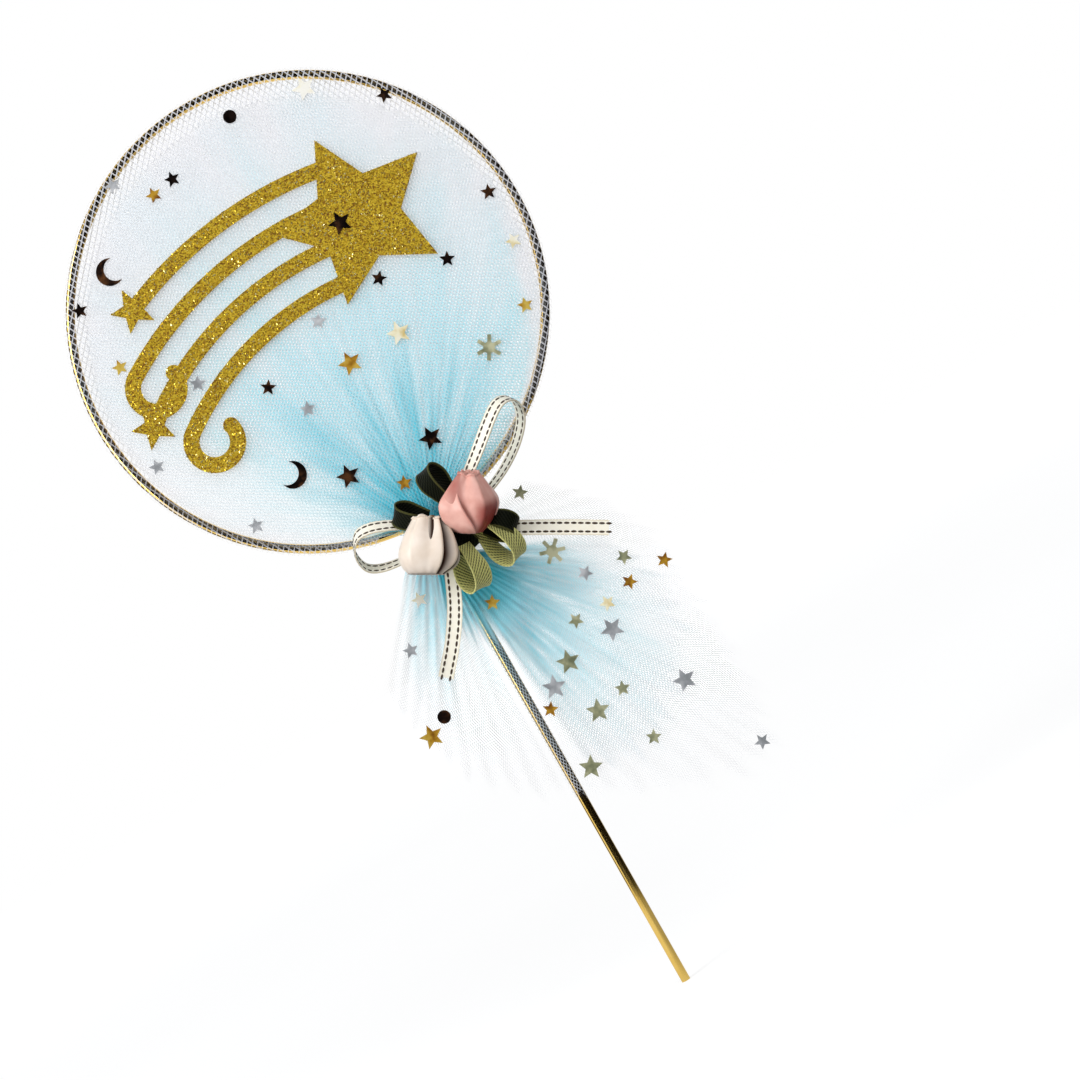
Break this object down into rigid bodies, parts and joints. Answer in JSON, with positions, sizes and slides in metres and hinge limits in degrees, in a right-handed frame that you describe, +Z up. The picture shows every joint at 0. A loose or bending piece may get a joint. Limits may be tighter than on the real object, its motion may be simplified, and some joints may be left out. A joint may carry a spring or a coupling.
{
  "type": "cake topper",
  "caption": "Wire hoop on a stick, wrapped in gathered tulle with foil stars, a glitter card shooting star, a ribbon bow and rolled rosebuds; the stick goes into a cake.",
  "frame": {"origin": "middle of the stick's lower end, the end that goes into the cake", "axes": "+Z up along the stick towards the hoop, -Y is the decorated front, +X to the right seen from the front"},
  "size_m": [0.1164, 0.0306, 0.2407],
  "materials": {
    "gold_wire": "polished gold colour",
    "blue_net": "soft net",
    "star_net": "sheer net",
    "glitter_card": "glitter",
    "gold_foil": "mirror foil",
    "dark_foil": "mirror foil",
    "silver_foil": "mirror foil",
    "pale_foil": "mirror foil",
    "green_foil": "mirror foil",
    "cream_ribbon": "woven with dark stitched edges",
    "glue": "clear",
    "leaf_ribbon": "woven with gold threads",
    "cream_satin": "satin",
    "pink_satin": "satin"
  },
  "bodies": {
    "root": {"hoop_and_stick": "gold_wire", "blue_tulle": "blue_net", "star_tulle": "star_net", "ornament_card": "glitter_card", "card_star": "dark_foil", "gold_stars": "gold_foil", "dark_stars": "dark_foil", "silver_stars": "silver_foil", "pale_stars": "pale_foil", "green_stars": "green_foil", "foil_moons": "gold_foil", "foil_dots": "dark_foil", "foil_snowflakes": "green_foil", "neck_band": "cream_ribbon", "bow_knot": "cream_ribbon", "bow_loop_upper": "cream_ribbon", "bow_loop_side": "cream_ribbon", "bow_tail_side": "cream_ribbon", "bow_tail_lower": "cream_ribbon", "glue_dab": "glue", "cream_bud_leaves": "leaf_ribbon", "pink_bud_leaves": "leaf_ribbon", "cream_rosebud": "cream_satin", "pink_rosebud": "pink_satin"}
  },
  "joints": []
}
